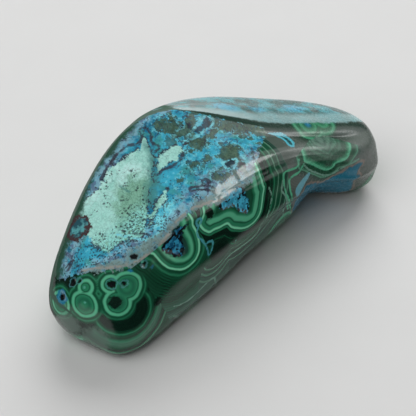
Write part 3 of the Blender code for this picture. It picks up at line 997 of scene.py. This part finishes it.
def banded_green(nodes, spacing):
    """The malachite: each group of shells has its own order of bands, and the nearest group shows."""
    wobble = nodes.noise(1.6, 2) * 0.07 + nodes.noise(5.0, 1, 40.0) * 0.12
    drift = nodes.noise(2.6, 1, 9.0) * 0.9
    patchy = 0.35 + 0.65 * nodes.rise(nodes.noise(3.4, 2, 13.0), -0.4, 0.4)
    coat = reach = None
    for name, bands, back, nearest, strength, seam in SHELL_GROUPS:
        field = nodes.field(name) + wobble
        wave = (field * (2 * math.pi / spacing) + drift).sine()
        close_wave = (field * (2 * math.pi * CLOSER / spacing) + drift).sine()
        outer = nodes.rise(field, 0.3, 1.4) * patchy * strength
        lines = 1 + (WAVE_STRENGTH * wave + CLOSE_WAVE_STRENGTH * close_wave) * outer
        colour = nodes.shade(nodes.ramp(field, bands), lines)
        own_reach = (field + back).most(nearest)
        if coat is None:
            coat = Coat(nodes, colour)
            reach = own_reach
        else:
            coat.lay(nodes.rise(reach - own_reach, -seam, seam), colour)
            reach = reach.least(own_reach)
    return coat


def blue_clouds(nodes, azure, cloud, curd, grit):
    """The blue ground: deep and bright azure clouds with teal between them and pale sparkle."""
    deep = nodes.rise(curd * 0.7 + cloud * 0.6, -0.7, 0.3)
    coat = Coat(nodes, nodes.blend(deep, AZURE_DEEP, azure))
    coat.lay(nodes.rise(nodes.noise(2.2, 3, 83.0), 0.1, 0.55) * 0.75, TEAL)
    coat.lay(nodes.rise(grit * 0.4 + curd, 0.4, 0.9) * 0.7, AZURE_PALE)
    return coat


def mint_colours(nodes, mint, cloud, curd, grit, low, edge):
    """The mint field: bright above, sage with worm-like lines in its middle, speckled below."""
    x, y = nodes.axis(0), nodes.axis(1)
    high = nodes.rise(y + 0.5 * x + cloud * 0.6, -7.5, -3.5) * (1 - nodes.rise(x, -12.6, -11.4))
    bright = nodes.rise(curd + cloud * 0.5, -0.9, 0.5) * (0.3 + 0.7 * high)
    coat = Coat(nodes, nodes.blend(bright, MINT_SIDE, mint))
    sage = nodes.rise(nodes.field("sage") + edge * 2, -1.8, 0.8)
    coat.lay(sage, SAGE)
    coat.lay(low, nodes.blend(nodes.rise(grit, -0.9, 0.1), SAGE, MINT_SPECKLED))
    worms = 1 - nodes.rise(abs(nodes.noise(0.6, 2, 51.0)), 0.0, 0.3)
    coat.lay(worms * (0.2 + 0.3 * sage + 0.3 * low), WORM_GREEN)
    return coat.colour


def blue_field(nodes, settings):
    """The chrysocolla: azure clouds, the mint field, olive patches, seams and specks."""
    x, y = nodes.axis(0), nodes.axis(1)
    cloud = nodes.noise(3.6, 3)
    curd = nodes.noise(1.3, 4, 11.0, 0.65)
    grit = nodes.noise(0.45, 2, 23.0)
    edge = nodes.noise(1.3, 5, 31.0, 0.75) * 0.75
    right = nodes.rise(x + cloud * 1.5, -9.0, -4.0)
    low = (1 - nodes.rise(y + x * 0.35 + cloud, -10.5, -6.5)) * (1 - nodes.rise(x, -18.5, -15.5) * 0.75)
    azure, olive = tuple(settings.azure), tuple(settings.olive)
    coat = blue_clouds(nodes, azure, cloud, curd, grit)
    # Olive and dark green clouds net the right half, with a dark edge and a pale halo.
    olives = nodes.blend(nodes.rise(grit + curd, -0.5, 0.8), olive, OLIVE_PALE)
    island = (nodes.field("azure_patch") + edge * 1.4).least(1.2)
    net = nodes.noise(2.0, 4, 63.0, 0.65) * 1.3
    net = net - nodes.rise(x + cloud, -5.0, -1.0) * (island * 0.6 - 0.1)
    coat.lay(nodes.line(net, 0.0, 0.12) * right * 0.5, AZURE_PALE)
    coat.lay(nodes.rise(net, 0.12, 0.3) * right * 0.92, olives)
    coat.lay(nodes.line(net, 0.15, 0.1) * right * 0.75, NAVY)
    # Lavender and plum follow the rim and the brow, and a bright streak lies below the mint field.
    rim = nodes.field("rim") + edge * 1.2
    place = nodes.field("round")
    lavender = nodes.line(rim, 2.4, 1.7).most(nodes.rise(place + edge, 2.7, 3.6))
    coat.lay(lavender * nodes.rise(curd, -0.7, 0.2) * 0.9, LAVENDER)
    coat.lay(lavender * nodes.rise(nodes.noise(1.1, 3, 37.0), 0.1, 0.4) * 0.8, PLUM)
    streak = nodes.rise(nodes.field("streak") + edge, -0.9, 0.1)
    coat.lay(streak, nodes.blend(nodes.rise(curd, -0.5, 0.4), azure, AZURE_PALE))
    # The mint field with its dark border, and the dark trough beside it.
    field = nodes.field("mint") + edge
    mint = mint_colours(nodes, tuple(settings.mint), cloud, curd, grit, low, edge)
    coat.lay(nodes.rise(field, -0.1, 0.15), mint)
    trough = nodes.rise(nodes.field("trough") + edge, -1.2, 0.5)
    coat.lay(trough * 0.85, TROUGH)
    border = nodes.line(field, -0.1, 0.26) * nodes.rise(nodes.noise(1.1, 2, 19.0), -0.2, 0.2)
    coat.lay(border * 0.85, SEAM)
    # Olive patches with a broken dark edge and halo, navy pits and lines.
    patch = nodes.field("olive") + edge * 1.6
    broken = nodes.rise(nodes.noise(0.9, 2, 29.0), -0.3, 0.3)
    coat.lay(nodes.line(patch, -0.5, 0.35) * broken * 0.6, AZURE_PALE)
    coat.lay(nodes.rise(patch, -0.15, 0.2) * 0.92, olives)
    coat.lay(nodes.line(patch, -0.1, 0.2) * broken * 0.8, NAVY)
    coat.lay(nodes.rise(nodes.field("navy") + edge, -0.15, 0.2) * 0.9, NAVY)
    pale = nodes.line(nodes.field("pale_line") + edge * 0.35, 0.0, 0.3)
    coat.lay(pale * (0.5 + 0.5 * broken), PALE_BLUE)
    purple = nodes.line(nodes.field("purple_line") + edge * 0.4, 0.0, 0.3)
    coat.lay(purple * 0.85, SEAM)
    coat.lay(nodes.line(nodes.field("crack") + edge * 0.4, 0.0, 0.2) * 0.7, TROUGH)
    # Thin seams that wind through the blue, and dark specks, thick in the low part.
    outside = 1 - nodes.rise(field, -0.4, 0.0)
    for size, shift in ((2.2, 71.0), (1.2, 75.0)):
        seam = nodes.line(nodes.noise(size, 3, shift), 0.0, 0.08)
        seam = seam * nodes.rise(nodes.noise(3.0, 1, shift + 5), -0.2, 0.2)
        coat.lay(seam * 0.75 * outside, SEAM)
    speck = 1 - nodes.rise(nodes.grains(0.62, 3.0) + nodes.noise(0.3, 1) * 0.15, 0.2, 0.36)
    some = nodes.rise(nodes.noise(1.8, 2, 15.0) + low + border * 0.5, 0.15, 0.55)
    fleck = nodes.rise(nodes.noise(0.42, 2, 17.0), 0.32, 0.55)
    coat.lay(speck.most(fleck) * some * (1 - right * 0.7) * 0.85, SPECK_GREY)
    # The dark green rim, and the round teal spot with its brown edge.
    wide = nodes.line(x, -11.0, 5.5) * 0.9 + nodes.rise(x, -10.0, -5.0) * 0.6
    coat.lay(1 - nodes.rise(rim - wide, 1.1, 2.3), RIM_GREEN)
    spot = nodes.field("teal_eye") + edge * 1.1
    coat.lay(nodes.rise(spot, -0.1, 0.15), SPOT_RIM)
    teal = nodes.blend(nodes.rise(curd, -0.3, 0.6), SPOT_DARK, SPOT_LIGHT)
    coat.lay(nodes.rise(spot, 0.45, 0.8), teal)
    # The brow: the grey over it is painted sheen, and the pale crust along its edge is partly the
    # stone's own crust and partly painted highlight.
    brow = nodes.rise(place + edge * 1.5, 3.9, 4.7) * nodes.rise(curd + cloud * 0.6, -0.9, 0.2)
    coat.lay(brow * 0.8, PAINTED_BROW_SHEEN)
    # Partly the stone's own crust and partly painted highlight along the brow's edge.
    crust_and_highlight = nodes.line(nodes.field("blue_face") + edge * 0.4, 0.4, 0.24) * nodes.rise(place, 2.5, 3.5)
    coat.lay(crust_and_highlight * nodes.rise(cloud + curd * 0.5, -0.2, 0.3) * 0.8, CRUST_AND_HIGHLIGHT)
    return coat.colour


def lay_top_back(coat, jag):
    """The face behind the crest: a dark green rim and malachite at the near end, and beyond it
    teal with azure clouds and a pale strip along the crest, which is painted reflection. Gives the
    dull share."""
    nodes = coat.nodes
    x = nodes.axis(0)
    cloud = nodes.noise(3.0, 4, 43.0)
    place = nodes.field("round")
    behind = 1 - nodes.rise(place + jag * 0.5, -0.3, 0.0)
    upper = behind * nodes.rise(place + cloud * 1.3 + jag * 2.0, -6.6, -6.2)
    loose = 1 - nodes.rise(place, -3.0, -1.0)
    near = 1 - nodes.rise(x + cloud * (0.8 + loose * 3.0), -1.0, 1.0)
    ground = Coat(nodes, nodes.blend(nodes.rise(cloud, -0.5, 0.5), TOP_DARK, TOP_TEAL))
    ground.lay(nodes.rise(nodes.field("top_blue") + cloud * 0.8, -0.8, 0.8), TOP_AZURE)
    ground.lay(nodes.rise(nodes.noise(2.6, 3, 47.0), 0.25, 0.6) * 0.6, TOP_BROWN)
    ground.lay(nodes.line(nodes.noise(1.8, 3, 49.0), 0.0, 0.09) * 0.6, NAVY)
    # Painted reflection: the pale strip along the crest.
    ground.lay(nodes.line(place + cloud * 0.12, -0.7, 1.1) * 0.75, CREST_REFLECTION)
    rim = behind * nodes.rise(place + cloud * 0.3, -2.2, -1.4)
    coat.lay(upper * (1 - near), ground.colour)
    coat.lay(rim * near, RIM_GREEN)
    return upper * near * 0.45


def pocket_colour(nodes):
    """Deep blue in the wall's pockets, with black pits and light flecks."""
    curd = nodes.noise(0.8, 3, 91.0)
    bright = nodes.rise(nodes.axis(0), -12.0, -8.0)
    coat = Coat(nodes, nodes.blend(nodes.rise(curd, -0.3, 0.4), POCKET_DEEP, POCKET_BLUE))
    coat.lay(bright * (0.45 + 0.45 * nodes.rise(curd, -0.1, 0.4)), POCKET_BRIGHT)
    edge = 1 - nodes.rise(nodes.field("pocket"), 0.1, 0.9)
    pits = nodes.rise(nodes.noise(0.75, 2, 95.0) - bright * 0.3 + edge * 0.6, 0.05, 0.25)
    coat.lay(pits, POCKET_PIT)
    return coat.colour


def lay_spots(coat, jag):
    """Dark pits, black with painted shade, with a faint pale ring; dark and blue cores; pale dots."""
    nodes = coat.nodes
    for name, tint, soft in (("deep_core", CORE_BLACK, 0.4), ("blue_core", AZURE_DEEP, 0.3)):
        coat.lay(1 - nodes.rise(nodes.field(name) + jag, -soft, 0.1), tint)
    spot = nodes.field("dark_spot") + jag * 0.7
    coat.lay(nodes.line(spot, 0.18, 0.17) * 0.45, PIT_HALO)
    # Painted shade: black in each pit.
    coat.lay(1 - nodes.rise(spot, -0.15, 0.12), PIT_SHADE)
    dot = nodes.field("pale_dot") + jag * 0.2
    coat.lay(1 - nodes.rise(dot, -0.1, 0.12), DOT_PALE)


def lay_wall(coat, jag, x):
    """What lies over the malachite outside the blue face: thin lines, the green crest, painted
    reflection of the floor on the foot, the pockets, the lens, the leaf, the blue undercut and the
    wedge."""
    nodes = coat.nodes
    for name, half, tint in (("meander", 0.3, MALACHITE_PALE), ("foot_line", 0.22, FOOT_PALE),
                             ("vein", 0.26, VEIN_BLUE)):
        coat.lay(nodes.line(nodes.field(name) + jag * 0.4, 0.0, half), tint)
    crest = nodes.line(nodes.field("round") + jag * 0.3, 0.8, 1.5) * nodes.rise(x, -4.0, 0.0)
    crest = crest * nodes.rise(nodes.field("scallops"), 0.3, 1.2)
    coat.lay(crest * 0.85, CREST_GREEN)
    # Painted reflection: the grey of the floor mirrored on the near end's foot.
    floor_reflection = 1 - nodes.rise(nodes.field("near_foot") + jag * 2.0, -0.6, 0.9)
    coat.lay(floor_reflection * 0.7, FLOOR_REFLECTION_GREY)
    coat.lay(nodes.rise(nodes.field("pocket") + jag, -0.1, 0.15), pocket_colour(nodes))
    coat.lay(nodes.rise(nodes.field("lens") + jag * 0.4, -0.15, 0.2), MALACHITE_DEEP)
    leaf = nodes.field("leaf") + jag * 0.4
    coat.lay(nodes.rise(leaf, -0.1, 0.1), LEAF_BLUE)
    coat.lay(nodes.rise(leaf, 0.38, 0.6), LEAF_TEAL)
    below = nodes.field("undercut") + jag * 0.6 + nodes.noise(2.4, 4, 67.0) * 0.5
    coat.lay(nodes.rise(below, -0.2, 0.3), UNDERCUT_BLUE)
    coat.lay(nodes.line(below, -0.25, 0.3) * 0.6, UNDERCUT_BROWN)
    coat.lay(nodes.rise(nodes.field("wedge") + jag * 0.3, -0.1, 0.15), WEDGE_BLUE)


# The polish: how much it bends light, and its finest waves as strength and depth in metres.
STONE_IOR = 1.6
BUMP_STRENGTH, BUMP_DEPTH = 0.12, 0.00003


def stone_material(settings):
    """The whole finish: malachite, what lies over it, the blue face, and the gloss over them."""
    material = bpy.data.materials.new("polished_stone")
    nodes = Nodes(material)
    coat = banded_green(nodes, settings.line_spacing / MM)
    jag = nodes.noise(0.8, 3, 61.0, 0.6) * 0.35
    x = nodes.axis(0)
    lay_wall(coat, jag, x)
    face = nodes.rise(nodes.field("blue_face") + jag * 1.3, -0.12, 0.12)
    coat.lay(face, blue_field(nodes, settings))
    dull = lay_top_back(coat, jag)
    lay_spots(coat, jag)
    satin = 0.16 * nodes.rise(x, 6.0, 13.0)
    roughness = settings.roughness + 0.04 * nodes.noise(0.6, 2, 77.0) + dull + satin
    bump = nodes.add("ShaderNodeBump", {}, {"Strength": BUMP_STRENGTH, "Distance": BUMP_DEPTH,
                                            "Height": nodes.noise(0.5, 2, 87.0)})
    nodes.finish({"Base Color": coat.colour, "Roughness": roughness, "IOR": STONE_IOR,
                  "Normal": bump})
    return material


# The floor's mottling, as the size of its clouds in mm and its strength.
MOTTLE_SIZE, MOTTLE = 12.0, 0.01


def floor_material(settings):
    """Matt pale board with the faintest mottling."""
    material = bpy.data.materials.new("pale_board")
    nodes = Nodes(material)
    colour = nodes.shade(tuple(settings.floor_colour), 1 + MOTTLE * nodes.noise(MOTTLE_SIZE, 3))
    nodes.finish({"Base Color": colour, "Roughness": 0.7, "Specular IOR Level": 0.2})
    return material


def card_material():
    """Black all over, and clear but for the card's front and near parts, with a soft edge."""
    material = bpy.data.materials.new("black_card")
    nodes = Nodes(material)
    x, y = nodes.axis(0), nodes.axis(1)
    before = nodes.rise(CARD_FRONT - y, 0.0, CARD_SOFT)
    beside = nodes.rise(CARD_NEAR - x, 0.0, CARD_SOFT)
    cover = before.most(beside) * nodes.rise(CARD_FAR - x, 0.0, 2 * CARD_SOFT)
    nodes.finish({"Base Color": BLACK, "Roughness": 1.0, "Specular IOR Level": 0.0, "Alpha": cover})
    return material


# ---------------------------------------------------------------------------------------------
# Operators.


def add_object(name, data):
    """A new object of the scene, made of a mesh, a light or a camera."""
    item = bpy.data.objects.new(name, data)
    bpy.context.scene.collection.objects.link(item)
    return item


class STONE_OT_make_stone(bpy.types.Operator):
    """Make the polished stone and let it stand for the plain solid"""

    bl_idname = "stone.make_stone"
    bl_label = "Make Stone"

    def execute(self, context):
        settings = context.scene.stone_settings
        skin, around = fine_skin()
        fields = pattern_fields(skin, around)
        heights = relief_heights(skin, fields, settings.relief)
        mesh = make_mesh("stone_skin", skin + outward_normals(skin) * heights[..., None])
        for name, values in fields.items():
            keep_field(mesh, name, values)
        stone = add_object("stone_skin", mesh)
        mesh.materials.append(stone_material(settings))
        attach(stone, "root")
        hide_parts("stone")
        return {"FINISHED"}


# Lights as (name, place and size in metres, the setting with its power). The polish does not
# mirror the large ones, so no white sheet lies over the blue face.
UNMIRRORED_LIGHTS = (
    ("main_light", (0.64, 0.37, 0.52), (0.8, 0.8), "key_power"),
    ("roof_light", (-0.51, 0.05, 0.74), (1.0, 1.0), "roof_power"),
    ("front_light", (-0.25, -0.85, 0.06), (0.6, 0.08), "front_power"),
)
# The side light and the dim wall of the room round it show in the polish only.
MIRRORED_LIGHTS = (
    ("side_light", (0.45, -0.41, 0.37), (0.28, 0.22), "brow_power"),
    ("room_light", (0.47, -0.41, 0.36), (0.9, 0.62), "room_power"),
)
MIRRORED_HEIGHT = 0.02
# The black card round the stone that only the polish sees: half its width in metres, and in mm
# where its front and near parts begin, where it ends on the far side, and how soft its edge is.
CARD_REACH = 0.5
CARD_FRONT, CARD_NEAR, CARD_FAR, CARD_SOFT = -12.0, -58.0, 40.0, 9.0
# The dome: its light at the horizon, and the heights between which it grows to full.
DIM_ROOM = 0.04
DOME_FOOT, DOME_TOP = 0.3, 0.7


def area_light(name, place, target, size, power):
    """A soft square light at a place, turned towards the target."""
    light = bpy.data.lights.new(name, "AREA")
    light.shape = "RECTANGLE"
    light.size, light.size_y = size
    light.energy = power
    item = add_object(name, light)
    item.location = place
    item.rotation_euler = (Vector(target) - Vector(place)).to_track_quat("-Z", "Y").to_euler()
    return item


def make_world(settings):
    """A pale dome overhead that falls off to a dim room at the horizon."""
    world = bpy.data.worlds.new("studio")
    nodes = Nodes(world)
    ray = nodes.add("ShaderNodeTexCoord", {}, {}, "Generated")
    height = nodes.add("ShaderNodeSeparateXYZ", {}, {0: ray}, 2)
    light = DIM_ROOM + (settings.surroundings - DIM_ROOM) * nodes.rise(height, DOME_FOOT, DOME_TOP)
    background = nodes.tree.nodes["Background"]
    nodes.feed(background.inputs["Color"], WHITE)
    nodes.feed(background.inputs["Strength"], light)
    return world


def flat_square(name, reach, height, material):
    """A level square round the origin: half its width, its height and its material."""
    mesh = bpy.data.meshes.new(name)
    corners = ((-reach, -reach), (reach, -reach), (reach, reach), (-reach, reach))
    mesh.from_pydata([(*corner, height) for corner in corners], [], [(0, 1, 2, 3)])
    mesh.materials.append(material)
    return add_object(name, mesh)


# The camera: the way it stands from the stone in degrees, its distance and the point at the
# frame's middle in metres, and its lens and sensor in mm.
VIEW_AZIMUTH = -50
VIEW_HEIGHT = 40
VIEW_DISTANCE = 0.4
VIEW_TARGET = (0.00757, 0.00517, 0.0)
LENS = 200
SENSOR = 36


class STONE_OT_make_stage(bpy.types.Operator):
    """Make the floor, the lights and the camera"""

    bl_idname = "stone.make_stage"
    bl_label = "Make Stage"

    def execute(self, context):
        settings = context.scene.stage_settings
        floor = flat_square("floor", settings.floor_reach, 0.0, floor_material(settings))
        for name, place, size, power in UNMIRRORED_LIGHTS:
            light = area_light(name, place, (0, 0, 0), size, getattr(settings, power))
            light.visible_glossy = False
        for name, place, size, power in MIRRORED_LIGHTS:
            light = area_light(name, place, (0, 0, MIRRORED_HEIGHT), size, getattr(settings, power))
            light.visible_diffuse = False
        context.scene.world = make_world(settings)
        context.scene.view_settings.view_transform = "Standard"
        card = flat_square("dark_card", CARD_REACH, MM, card_material())
        card.visible_camera = False
        card.visible_diffuse = False
        card.visible_shadow = False
        self.make_camera(context)
        return {"FINISHED"}

    def make_camera(self, context):
        """A long lens that looks down at the near end."""
        azimuth, height = math.radians(VIEW_AZIMUTH), math.radians(VIEW_HEIGHT)
        away = Vector((math.sin(azimuth) * math.cos(height), -math.cos(azimuth) * math.cos(height),
                       math.sin(height)))
        lens = bpy.data.cameras.new("camera")
        lens.lens = LENS
        lens.sensor_width = SENSOR
        lens.clip_end = 10
        camera = add_object("camera", lens)
        camera.location = Vector(VIEW_TARGET) + away * VIEW_DISTANCE
        camera.rotation_euler = (-away).to_track_quat("-Z", "Y").to_euler()
        context.scene.camera = camera


class STONE_PT_panel(bpy.types.Panel):
    """The stone's settings and its buttons"""

    bl_idname = "STONE_PT_panel"
    bl_label = "Polished Stone"
    bl_space_type = "VIEW_3D"
    bl_region_type = "UI"
    bl_category = "Stone"

    def draw(self, context):
        layout = self.layout
        for settings in (context.scene.stone_settings, context.scene.stage_settings):
            for name in settings.__annotations__:
                layout.prop(settings, name)
        for operator in OPERATORS:
            layout.operator(operator.bl_idname)


OPERATORS = (STONE_OT_make_stone, STONE_OT_make_stage)
CLASSES = (StoneSettings, StageSettings, *OPERATORS, STONE_PT_panel)


def register():
    for item in CLASSES:
        bpy.utils.register_class(item)
    bpy.types.Scene.stone_settings = PointerProperty(type=StoneSettings)
    bpy.types.Scene.stage_settings = PointerProperty(type=StageSettings)


def unregister():
    del bpy.types.Scene.stage_settings
    del bpy.types.Scene.stone_settings
    for item in reversed(CLASSES):
        bpy.utils.unregister_class(item)


def main():
    register()
    bpy.ops.stone.make_stone()
    bpy.ops.stone.make_stage()


if __name__ == "__main__":
    main()
